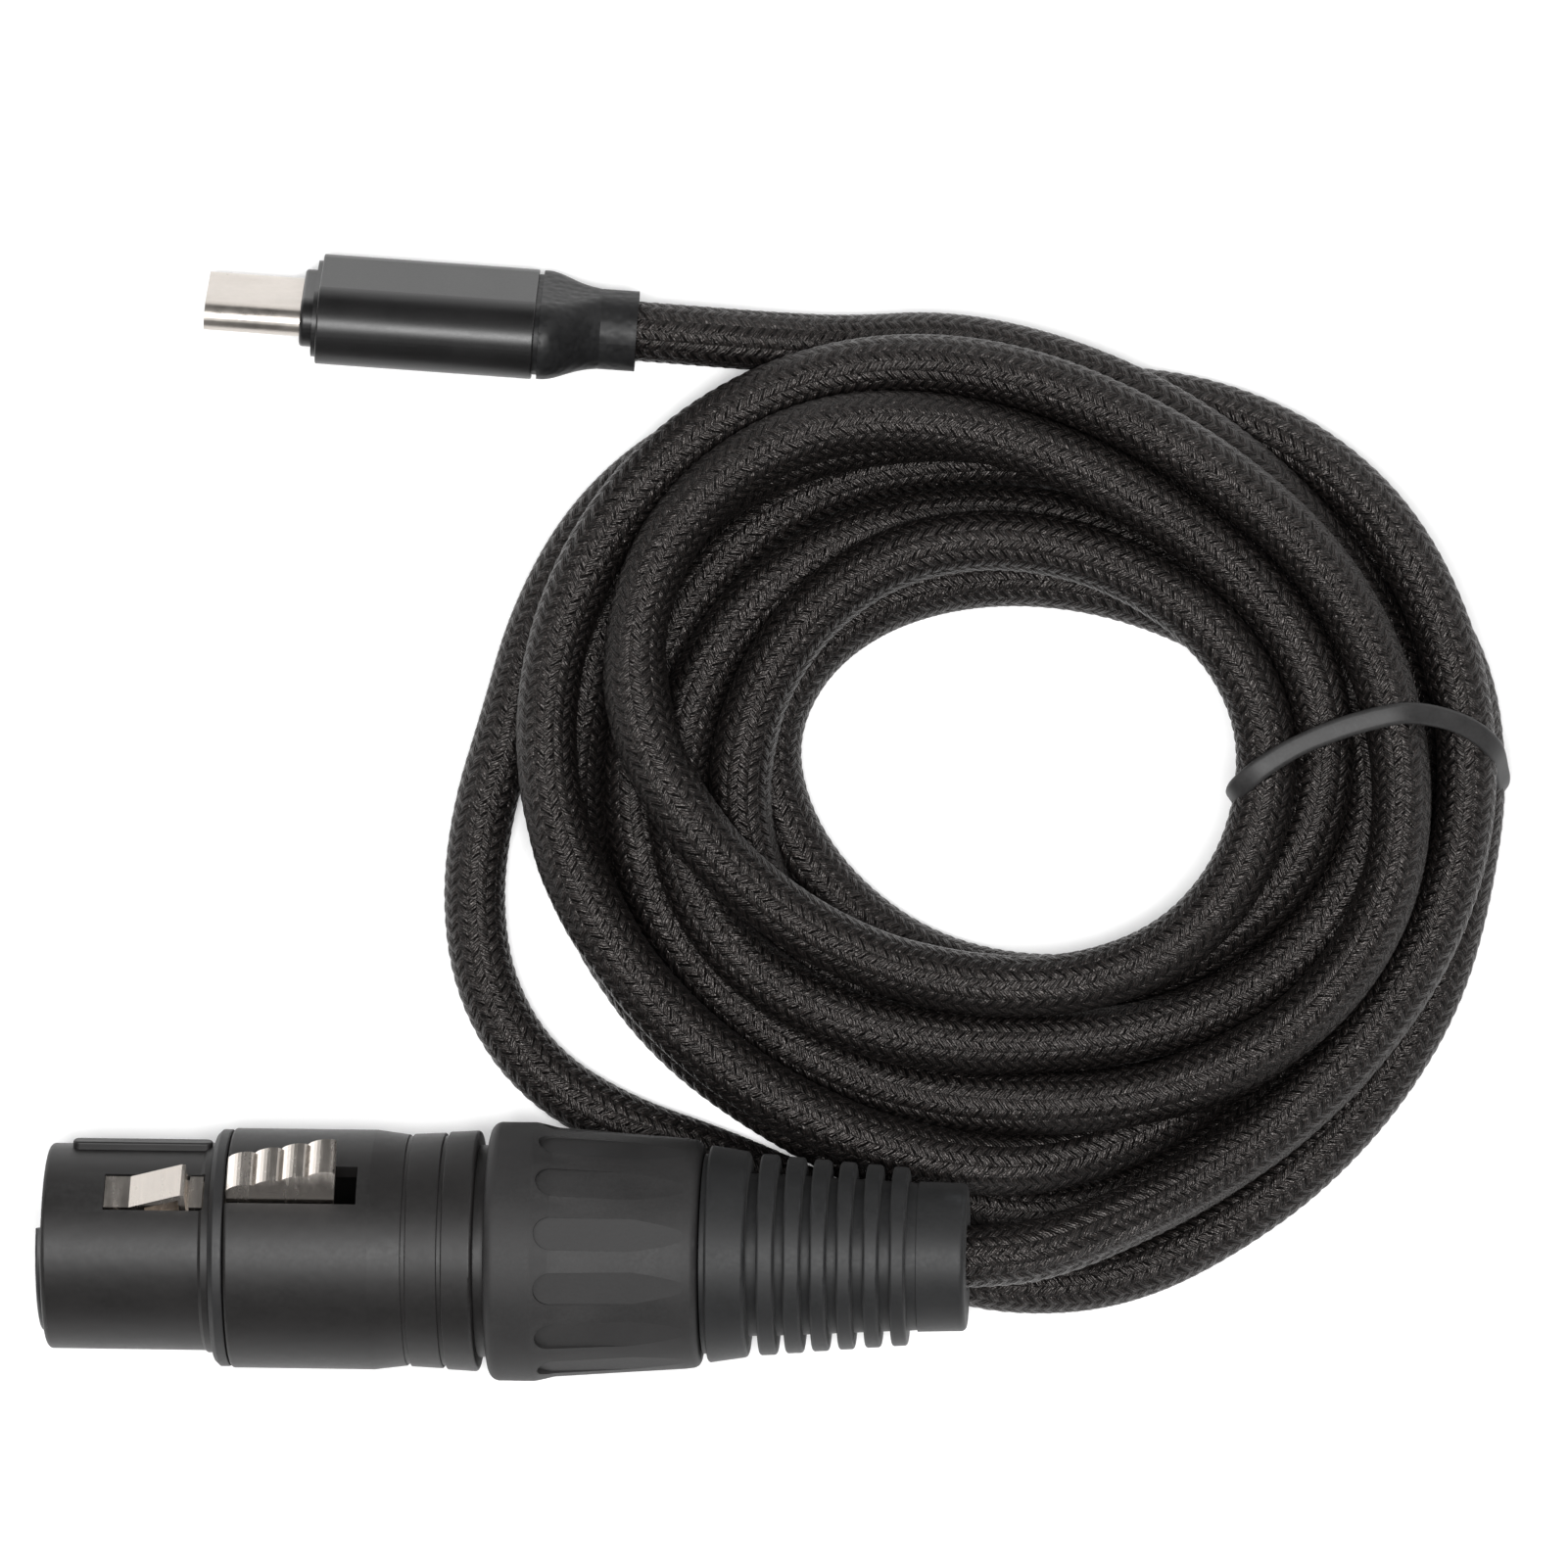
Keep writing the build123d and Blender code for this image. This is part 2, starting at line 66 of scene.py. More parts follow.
# ------------------------------------------------------------------ the cord's line
# control points, metres: the lead out of the boot, the first turn, the loose turn under the
# connector, the wound turns, then the lead into the second plug
ROUTE = [
    (0.0327, 0.0000, 0.0126), (0.0393, 0.0000, 0.0130), (0.0439, 0.0010, 0.0121), (0.0493, 0.0032, 0.0094),
    (0.0550, 0.0061, 0.0074), (0.0618, 0.0108, 0.0073), (0.0681, 0.0172, 0.0071), (0.0730, 0.0247, 0.0071),
    (0.0758, 0.0332, 0.0077), (0.0761, 0.0421, 0.0081), (0.0739, 0.0508, 0.0079), (0.0697, 0.0586, 0.0068),
    (0.0634, 0.0643, 0.0048), (0.0556, 0.0677, 0.0029), (0.0470, 0.0688, 0.0024), (0.0378, 0.0685, 0.0024),
    (0.0287, 0.0677, 0.0024), (0.0198, 0.0669, 0.0024), (0.0121, 0.0634, 0.0024), (0.0060, 0.0577, 0.0024),
    (0.0020, 0.0502, 0.0024), (-0.0002, 0.0420, 0.0024), (-0.0023, 0.0350, 0.0024), (-0.0031, 0.0276, 0.0024),
    (-0.0019, 0.0204, 0.0024), (0.0021, 0.0141, 0.0024), (0.0088, 0.0100, 0.0024), (0.0170, 0.0073, 0.0024),
    (0.0252, 0.0038, 0.0024), (0.0315, 0.0002, 0.0024), (0.0375, -0.0022, 0.0024), (0.0445, -0.0025, 0.0024),
    (0.0505, -0.0012, 0.0024), (0.0564, 0.0018, 0.0024), (0.0632, 0.0066, 0.0024), (0.0692, 0.0131, 0.0024),
    (0.0738, 0.0209, 0.0024), (0.0761, 0.0297, 0.0025), (0.0772, 0.0390, 0.0032), (0.0756, 0.0479, 0.0031),
    (0.0705, 0.0549, 0.0024), (0.0628, 0.0597, 0.0024), (0.0539, 0.0625, 0.0024), (0.0444, 0.0634, 0.0024),
    (0.0350, 0.0635, 0.0024), (0.0263, 0.0619, 0.0024), (0.0188, 0.0577, 0.0024), (0.0133, 0.0513, 0.0024),
    (0.0101, 0.0433, 0.0024), (0.0095, 0.0347, 0.0024), (0.0120, 0.0266, 0.0024), (0.0173, 0.0199, 0.0026),
    (0.0247, 0.0151, 0.0034), (0.0332, 0.0124, 0.0048), (0.0424, 0.0119, 0.0065), (0.0515, 0.0128, 0.0078),
    (0.0597, 0.0162, 0.0092), (0.0662, 0.0219, 0.0105), (0.0702, 0.0297, 0.0116), (0.0709, 0.0385, 0.0118),
    (0.0689, 0.0473, 0.0118), (0.0643, 0.0551, 0.0120), (0.0574, 0.0614, 0.0121), (0.0495, 0.0662, 0.0121),
    (0.0410, 0.0697, 0.0114), (0.0322, 0.0710, 0.0096), (0.0235, 0.0698, 0.0083), (0.0156, 0.0660, 0.0075),
    (0.0091, 0.0601, 0.0073), (0.0047, 0.0525, 0.0071), (0.0026, 0.0440, 0.0069), (0.0031, 0.0352, 0.0072),
    (0.0063, 0.0270, 0.0074), (0.0116, 0.0197, 0.0073), (0.0186, 0.0138, 0.0073), (0.0268, 0.0096, 0.0073),
    (0.0355, 0.0071, 0.0066), (0.0440, 0.0072, 0.0046), (0.0520, 0.0105, 0.0031), (0.0587, 0.0160, 0.0024),
    (0.0638, 0.0229, 0.0024), (0.0663, 0.0309, 0.0024), (0.0659, 0.0388, 0.0033), (0.0625, 0.0458, 0.0029),
    (0.0560, 0.0505, 0.0024), (0.0470, 0.0537, 0.0029), (0.0376, 0.0543, 0.0024), (0.0291, 0.0521, 0.0024),
    (0.0230, 0.0474, 0.0024), (0.0202, 0.0409, 0.0024), (0.0217, 0.0340, 0.0024), (0.0261, 0.0279, 0.0024),
    (0.0327, 0.0233, 0.0024), (0.0407, 0.0213, 0.0030), (0.0490, 0.0219, 0.0043), (0.0564, 0.0253, 0.0067),
    (0.0624, 0.0310, 0.0086), (0.0649, 0.0387, 0.0102), (0.0637, 0.0470, 0.0113), (0.0585, 0.0541, 0.0114),
    (0.0509, 0.0597, 0.0119), (0.0425, 0.0640, 0.0121), (0.0337, 0.0662, 0.0118), (0.0251, 0.0660, 0.0113),
    (0.0176, 0.0626, 0.0104), (0.0121, 0.0568, 0.0099), (0.0095, 0.0492, 0.0101), (0.0103, 0.0411, 0.0106),
    (0.0144, 0.0336, 0.0110), (0.0208, 0.0275, 0.0100), (0.0287, 0.0232, 0.0093), (0.0373, 0.0213, 0.0092),
    (0.0457, 0.0216, 0.0098), (0.0529, 0.0245, 0.0109), (0.0578, 0.0300, 0.0120), (0.0600, 0.0367, 0.0121),
    (0.0597, 0.0436, 0.0120), (0.0558, 0.0501, 0.0122), (0.0479, 0.0553, 0.0111), (0.0390, 0.0572, 0.0097),
    (0.0304, 0.0558, 0.0087), (0.0235, 0.0510, 0.0080), (0.0191, 0.0439, 0.0073), (0.0178, 0.0356, 0.0065),
    (0.0203, 0.0278, 0.0048), (0.0260, 0.0214, 0.0030), (0.0335, 0.0170, 0.0024), (0.0419, 0.0151, 0.0024),
    (0.0499, 0.0163, 0.0024), (0.0563, 0.0207, 0.0024), (0.0604, 0.0275, 0.0024), (0.0617, 0.0352, 0.0046),
    (0.0604, 0.0431, 0.0071), (0.0570, 0.0507, 0.0075), (0.0509, 0.0559, 0.0067), (0.0432, 0.0588, 0.0054),
    (0.0348, 0.0590, 0.0046), (0.0267, 0.0571, 0.0043), (0.0198, 0.0527, 0.0047), (0.0151, 0.0462, 0.0054),
    (0.0130, 0.0384, 0.0059), (0.0137, 0.0305, 0.0062), (0.0177, 0.0237, 0.0070), (0.0246, 0.0192, 0.0075),
    (0.0332, 0.0169, 0.0075), (0.0424, 0.0168, 0.0073), (0.0516, 0.0180, 0.0074), (0.0597, 0.0215, 0.0072),
    (0.0657, 0.0274, 0.0074), (0.0688, 0.0347, 0.0073), (0.0681, 0.0425, 0.0070), (0.0635, 0.0498, 0.0064),
    (0.0579, 0.0568, 0.0066), (0.0505, 0.0619, 0.0073), (0.0422, 0.0649, 0.0072), (0.0333, 0.0657, 0.0068),
    (0.0246, 0.0645, 0.0064), (0.0168, 0.0613, 0.0052), (0.0105, 0.0558, 0.0039), (0.0065, 0.0484, 0.0029),
    (0.0046, 0.0400, 0.0024), (0.0051, 0.0314, 0.0024), (0.0082, 0.0233, 0.0024), (0.0136, 0.0165, 0.0024),
    (0.0211, 0.0112, 0.0024), (0.0295, 0.0069, 0.0024), (0.0379, 0.0032, 0.0024), (0.0467, 0.0031, 0.0024),
    (0.0548, 0.0065, 0.0024), (0.0619, 0.0122, 0.0024), (0.0676, 0.0195, 0.0024), (0.0707, 0.0280, 0.0024),
    (0.0720, 0.0369, 0.0029), (0.0712, 0.0457, 0.0041), (0.0671, 0.0536, 0.0066), (0.0608, 0.0607, 0.0074),
    (0.0529, 0.0666, 0.0076), (0.0439, 0.0707, 0.0072), (0.0346, 0.0728, 0.0050), (0.0265, 0.0723, 0.0029),
    (0.0205, 0.0725, 0.0040), (0.0138, 0.0729, 0.0060), (0.0063, 0.0734, 0.0060),
]
CORD_D = 0.0048


def spline_curve(name, pts):
    cu = bpy.data.curves.new(name, "CURVE")
    cu.dimensions = "3D"
    sp = cu.splines.new("NURBS")
    sp.points.add(len(pts) - 1)
    for p, c in zip(sp.points, pts):
        p.co = (c[0], c[1], c[2], 1.0)
    sp.order_u = 3
    sp.use_endpoint_u = True
    cu.resolution_u = 24
    ob = bpy.data.objects.new(name, cu)
    bpy.context.collection.objects.link(ob)
    return ob


def read_line(name, pts):
    """The points of a NURBS curve with no bevel, as Blender evaluates it."""
    ob = spline_curve(name, pts)
    dg = bpy.context.evaluated_depsgraph_get()
    me = bpy.data.meshes.new_from_object(ob.evaluated_get(dg))
    line = np.array([v.co[:] for v in me.vertices], float)
    bpy.data.objects.remove(ob, do_unlink=True)
    bpy.data.meshes.remove(me)
    keep = np.r_[True, np.linalg.norm(np.diff(line, axis=0), axis=1) > 1e-7]
    return line[keep]


def even(line, step):
    s = np.r_[0, np.cumsum(np.linalg.norm(np.diff(line, axis=0), axis=1))]
    n = max(2, int(round(s[-1] / step)))
    t = np.linspace(0, s[-1], n + 1)
    return np.stack([np.interp(t, s, line[:, k]) for k in range(3)], 1), t


def frames_along(line):
    t = np.gradient(line, axis=0)
    t /= np.linalg.norm(t, axis=1)[:, None]
    n = np.zeros_like(t)
    a = np.array([0.0, 0.0, 1.0]) - t[0] * t[0][2]
    n[0] = a / np.linalg.norm(a)
    for i in range(1, len(t)):
        v = n[i - 1] - t[i] * np.dot(n[i - 1], t[i])
        n[i] = v / np.linalg.norm(v)
    return t, n, np.cross(t, n)


def mesh_from(name, verts, faces, uvs=None, smooth=True):
    me = bpy.data.meshes.new(name)
    me.vertices.add(len(verts))
    me.vertices.foreach_set("co", np.asarray(verts, np.float32).ravel())
    faces = np.asarray(faces, np.int32)
    k = faces.shape[1]
    me.loops.add(faces.size)
    me.loops.foreach_set("vertex_index", faces.ravel())
    me.polygons.add(len(faces))
    me.polygons.foreach_set("loop_start", np.arange(0, faces.size, k, dtype=np.int32))
    me.polygons.foreach_set("loop_total", np.full(len(faces), k, np.int32))
    me.polygons.foreach_set("use_smooth", np.full(len(faces), smooth))
    me.update(calc_edges=True)
    if uvs is not None:
        me.uv_layers.new(name="UVMap").data.foreach_set("uv", np.asarray(uvs, np.float32).ravel())
    me.validate()
    ob = bpy.data.objects.new(name, me)
    bpy.context.collection.objects.link(ob)
    return ob


# ------------------------------------------------------------------ material tools
def nodes_of(name):
    m = bpy.data.materials.new(name)
    m.use_nodes = True
    nt = m.node_tree
    bsdf = next(n for n in nt.nodes if n.type == "BSDF_PRINCIPLED")
    return m, nt, bsdf


class G:
    """A short way to write a node graph."""

    def __init__(self, nt):
        self.nt = nt

    def put(self, sock, v):
        if isinstance(v, bpy.types.NodeSocket):
            self.nt.links.new(v, sock)
        else:
            sock.default_value = v

    def math(self, op, a, b=None, c=None):
        n = self.nt.nodes.new("ShaderNodeMath")
        n.operation = op
        self.put(n.inputs[0], a)
        if b is not None:
            self.put(n.inputs[1], b)
        if c is not None:
            self.put(n.inputs[2], c)
        return n.outputs[0]

    def remap(self, v, a, b, c, d, smooth=False):
        n = self.nt.nodes.new("ShaderNodeMapRange")
        if smooth:
            n.interpolation_type = "SMOOTHSTEP"
        self.put(n.inputs["Value"], v)
        for k, x in zip(("From Min", "From Max", "To Min", "To Max"), (a, b, c, d)):
            n.inputs[k].default_value = x
        return n.outputs["Result"]

    def noise(self, vec, scale, detail=3.0, rough=0.55, distort=0.0):
        n = self.nt.nodes.new("ShaderNodeTexNoise")
        if vec is not None:
            self.nt.links.new(vec, n.inputs["Vector"])
        n.inputs["Scale"].default_value = scale
        n.inputs["Detail"].default_value = detail
        n.inputs["Roughness"].default_value = rough
        n.inputs["Distortion"].default_value = distort
        return n.outputs["Fac"]

    def voronoi(self, vec, scale, feature="F1"):
        n = self.nt.nodes.new("ShaderNodeTexVoronoi")
        n.feature = feature
        if vec is not None:
            self.nt.links.new(vec, n.inputs["Vector"])
        n.inputs["Scale"].default_value = scale
        return n.outputs["Distance"]

    def coords(self):
        return self.nt.nodes.new("ShaderNodeTexCoord").outputs["Object"]

    def stretch(self, vec, s):
        n = self.nt.nodes.new("ShaderNodeMapping")
        self.nt.links.new(vec, n.inputs["Vector"])
        n.inputs["Scale"].default_value = s
        return n.outputs["Vector"]

    def mix(self, f, a, b):
        n = self.nt.nodes.new("ShaderNodeMix")
        n.data_type = "RGBA"
        self.put(n.inputs["Factor"], f)
        ia, ib = [i for i in n.inputs if i.type == "RGBA"][:2]
        self.put(ia, a)
        self.put(ib, b)
        return [o for o in n.outputs if o.type == "RGBA"][0]

    def bump(self, h, dist, strength=1.0, normal=None):
        n = self.nt.nodes.new("ShaderNodeBump")
        n.inputs["Strength"].default_value = strength
        n.inputs["Distance"].default_value = dist
        self.nt.links.new(h, n.inputs["Height"])
        if normal is not None:
            self.nt.links.new(normal, n.inputs["Normal"])
        return n.outputs["Normal"]

    def pointiness(self):
        return self.nt.nodes.new("ShaderNodeNewGeometry").outputs["Pointiness"]


def rgb(r, g, b):
    return (r, g, b, 1.0)


def surface(name, dark, light, rough=(0.4, 0.5), metallic=0.0, grain=3000.0, grain_h=4e-6,
            blotch=220.0, peel=None, brushed=None, spec=0.5, coat=0.0, coat_rough=0.2,
            scratches=0.0, sheen=0.0, wear=None):
    m, nt, b = nodes_of(name)
    g = G(nt)
    co = g.coords()
    n1 = g.noise(co, blotch, 4.0, 0.6)
    n2 = g.noise(co, grain, 2.0, 0.5)
    f = g.remap(g.math("ADD", g.math("MULTIPLY", n1, 0.65), g.math("MULTIPLY", n2, 0.35)), 0.35, 0.65, 0.0, 1.0)
    col = g.mix(f, rgb(*dark), rgb(*light))
    rg = g.remap(g.math("ADD", g.math("MULTIPLY", n1, 0.5), g.math("MULTIPLY", n2, 0.5)), 0.3, 0.7, rough[0], rough[1])
    h = g.bump(n2, grain_h)
    if peel:
        h = g.bump(g.voronoi(co, peel[0], "SMOOTH_F1"), peel[1], 1.0, h)
    if brushed:
        st = g.noise(g.stretch(co, brushed[0]), brushed[1], 3.0, 0.6)
        h = g.bump(st, brushed[2], 1.0, h)
        rg = g.math("ADD", rg, g.remap(st, 0.3, 0.7, -0.06, 0.06))
    if scratches:
        sc = g.noise(g.stretch(co, (60, 900, 900)), 6.0, 4.0, 0.65)
        col = g.mix(g.remap(sc, 0.68, 0.74, 0.0, scratches), col, rgb(*[min(1, c * 2.2 + 0.03) for c in light]))
    if wear:
        pt = g.remap(g.pointiness(), 0.52, 0.60, 0.0, wear[0])
        col = g.mix(g.math("MULTIPLY", pt, g.remap(n2, 0.3, 0.7, 0.4, 1.0)), col, rgb(*wear[1]))
    nt.links.new(col, b.inputs["Base Color"])
    nt.links.new(rg, b.inputs["Roughness"])
    nt.links.new(h, b.inputs["Normal"])
    b.inputs["Metallic"].default_value = metallic
    b.inputs["Specular IOR Level"].default_value = spec
    b.inputs["Coat Weight"].default_value = coat
    b.inputs["Coat Roughness"].default_value = coat_rough
    b.inputs["Sheen Weight"].default_value = sheen
    return m


def dress(node, mat):
    ob = NODES[node]
    if not ob.material_slots:
        ob.data.materials.append(mat)
    for s in ob.material_slots:
        s.material = mat


# ------------------------------------------------------------------ braided cord
AROUND = 72
RAW = read_line("cord_line", ROUTE)
LINE, LEN = even(RAW, 0.00022)
CORD_LEN = float(LEN[-1])
T, N, B = frames_along(LINE)
rng = np.random.default_rng(7)
TURNS = 9                     # pairs of columns round the cord
PITCH = 0.00110               # one stitch along the cord


def wander(n, mm, seed):
    r = np.random.default_rng(seed)
    k = max(4, int(CORD_LEN * 1000 / mm))
    x = np.linspace(0, k - 1.001, n)
    y = r.normal(size=k + 1)
    f = x - np.floor(x)
    f = f * f * (3 - 2 * f)
    q = np.floor(x).astype(int)
    return y[q] * (1 - f) + y[q + 1] * f


# where the sleeve is pressed wider against a neighbour: place along the cord, half length, extra radius (mm)
PRESSED = [
    (398.5, 5.5, 0.19), (406.0, 6.2, 0.19), (442.8, 5.4, 0.13), (461.7, 3.0, 0.16), (605.0, 3.5, 0.19),
    (641.8, 3.0, 0.13), (646.0, 5.8, 0.13), (662.2, 6.4, 0.16), (667.0, 3.0, 0.16), (682.1, 3.0, 0.10),
    (804.7, 3.0, 0.10), (898.4, 3.0, 0.19), (906.0, 3.0, 0.13), (933.5, 3.0, 0.07), (1029.5, 3.9, 0.13),
    (1058.3, 3.0, 0.07), (1090.8, 3.0, 0.10), (1168.9, 3.4, 0.13), (1205.2, 3.0, 0.07), (1237.8, 3.0, 0.10),
    (1337.7, 3.0, 0.19), (1343.8, 7.8, 0.19), (1352.9, 5.2, 0.19), (1409.1, 3.0, 0.16), (1415.7, 7.2, 0.16),
]


def braid_tube():
    """A sleeve of flat yarns: eighteen columns of slanting stitches, each column half a stitch on
    from the next, with every stitch raised along its middle and tucked in at its ends."""
    n = len(LINE)
    a = np.linspace(0, 2 * math.pi, AROUND, endpoint=False)
    rad = CORD_D / 2 - 0.00003 + 0.000022 * wander(n, 16, 3)
    for at, half, more in PRESSED:
        q = np.clip(1.5 * (1 - np.abs(LEN * 1000 - at) / (half + 3.0)), 0, 1)
        rad = np.maximum(rad, CORD_D / 2 - 0.00003 + more / 1000 * q * q * (3 - 2 * q))
    flat = 0.000030 * wander(n, 42, 4)
    twist = 0.9 * wander(n, 130, 5)
    slip = 0.22 * wander(n, 9, 6)
    ang = a[None, :] + twist[:, None]
    v = (np.arange(AROUND) / AROUND * 2 * TURNS)[None, :] + np.zeros((n, 1))
    col = np.floor(v + 1e-9)
    f = v - col
    odd = col % 2
    sg = 2 * odd - 1
    u = (LEN / PITCH + slip)[:, None]
    ph = u + sg * (f - 0.5) * 0.60 + 0.5 * odd
    st = ph - np.floor(ph)
    hs = np.maximum(np.sin(math.pi * st), 1e-4) ** 0.62
    hc = np.maximum(np.sin(math.pi * np.clip(f, 0.02, 0.98)), 1e-4) ** 0.12
    r = rad[:, None] + flat[:, None] * np.cos(2 * ang) + 0.000170 * (hs * hc - 0.66)
    V = LINE[:, None, :] + r[..., None] * (np.cos(ang)[..., None] * N[:, None, :] + np.sin(ang)[..., None] * B[:, None, :])
    V[..., 2] = np.maximum(V[..., 2], 0.00002)
    i = np.arange(n - 1)[:, None]
    j = np.arange(AROUND)[None, :]
    j2 = (j + 1) % AROUND
    F = np.stack([i * AROUND + j, i * AROUND + j2, (i + 1) * AROUND + j2, (i + 1) * AROUND + j], -1).reshape(-1, 4)
    one = np.ones((1, AROUND))
    u0 = u[:-1] * one
    u1 = u[1:] * one
    v0 = (j / AROUND) * np.ones((n - 1, 1)) * 2 * TURNS
    v1 = ((j + 1) / AROUND) * np.ones((n - 1, 1)) * 2 * TURNS
    UV = np.stack([np.stack([u0, v0], -1), np.stack([u0, v1], -1), np.stack([u1, v1], -1), np.stack([u1, v0], -1)], 2).reshape(-1, 2)
    return mesh_from("braided_cord", V.reshape(-1, 3), F, UV)


cord = braid_tube()


def braid_material():
    m, nt, b = nodes_of("woven_braid")
    g = G(nt)
    uv = nt.nodes.new("ShaderNodeUVMap")
    uv.uv_map = "UVMap"
    sep = nt.nodes.new("ShaderNodeSeparateXYZ")
    nt.links.new(uv.outputs["UV"], sep.inputs[0])
    u, v = sep.outputs[0], sep.outputs[1]
    co = g.coords()
    col_i = g.math("FLOOR", v)
    f = g.math("SUBTRACT", v, col_i)
    odd = g.math("MODULO", g.math("ABSOLUTE", col_i), 2.0)
    sgn = g.math("SUBTRACT", g.math("MULTIPLY", odd, 2.0), 1.0)
    lean = g.math("MULTIPLY", g.math("MULTIPLY", sgn, g.math("SUBTRACT", f, 0.5)), 0.60)
    ph = g.math("ADD", g.math("ADD", u, lean), g.math("MULTIPLY", odd, 0.5))
    s = g.math("FRACT", ph)
    # a stitch: rounded across its own width, dipping at the column's edges
    hs = g.math("SINE", g.math("MULTIPLY", s, math.pi))
    hs = g.math("POWER", g.math("MAXIMUM", hs, 0.0001), 0.50)
    hc = g.math("SINE", g.math("MULTIPLY", f, math.pi))
    hc = g.math("POWER", g.math("MAXIMUM", hc, 0.0001), 0.10)
    h = g.math("MULTIPLY", hs, hc)
    # filaments along the stitch
    fil = g.math("SINE", g.math("MULTIPLY", g.math("ADD", s, g.remap(g.noise(co, 2600.0, 1.0, 0.5), 0.3, 0.7, -0.06, 0.06)), math.pi * 2 * 4))
    fil_n = g.noise(co, 3400.0, 2.0, 0.6)
    fil = g.math("ADD", g.math("MULTIPLY", fil, 0.5), g.remap(fil_n, 0.3, 0.7, -0.5, 0.5))
    hh = g.math("ADD", h, g.math("MULTIPLY", fil, 0.34))
    # each stitch has its own shade
    cell = nt.nodes.new("ShaderNodeTexWhiteNoise")
    cell.noise_dimensions = "2D"
    cmb = nt.nodes.new("ShaderNodeCombineXYZ")
    nt.links.new(g.math("FLOOR", ph), cmb.inputs[0])
    nt.links.new(col_i, cmb.inputs[1])
    nt.links.new(cmb.outputs[0], cell.inputs["Vector"])
    shade = g.math("ADD", g.math("MULTIPLY", cell.outputs["Value"], 0.5), g.math("MULTIPLY", g.noise(co, 60.0, 3.0, 0.6), 0.5))
    top = g.mix(shade, rgb(0.0008, 0.0006, 0.0006), rgb(0.0052, 0.0042, 0.0041))
    # painted sheen: the filament streaks are mixed towards a lighter warm colour, standing in for the sheen of light
    # along the filaments
    top = g.mix(g.remap(fil, 0.1, 1.0, 0.0, 0.80), top, rgb(0.034, 0.0275, 0.025))
    # painted shade: the dips at each stitch's ends and along the column edges are mixed towards a near-black colour,
    # standing in for the shade that falls in these creases
    crease_shade_colour = rgb(0.0003, 0.00025, 0.00025)
    colr = g.mix(g.remap(h, 0.35, 0.90, 0.0, 1.0, True), crease_shade_colour, top)
    nt.links.new(colr, b.inputs["Base Color"])
    nt.links.new(g.remap(fil, -1.0, 1.0, 0.46, 0.27), b.inputs["Roughness"])
    nt.links.new(g.bump(hh, 0.00011, 1.0), b.inputs["Normal"])
    b.inputs["Specular IOR Level"].default_value = 0.44
    b.inputs["Sheen Weight"].default_value = 0.0
    b.inputs["Sheen Roughness"].default_value = 0.35
    b.inputs["Sheen Tint"].default_value = rgb(0.75, 0.68, 0.65)
    b.inputs["Specular Tint"].default_value = rgb(1.0, 0.93, 0.90)
    return m


cord.data.materials.append(braid_material())
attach(cord, "cable")

# ------------------------------------------------------------------ the tie round the bundle
TIE = [(57.6, 37.6), (60.6, 39.9), (64.2, 41.7), (68.3, 43.1), (72.4, 43.9), (76.0, 43.7), (79.0, 42.0), (80.6, 39.9), (82.2, 37.2)]


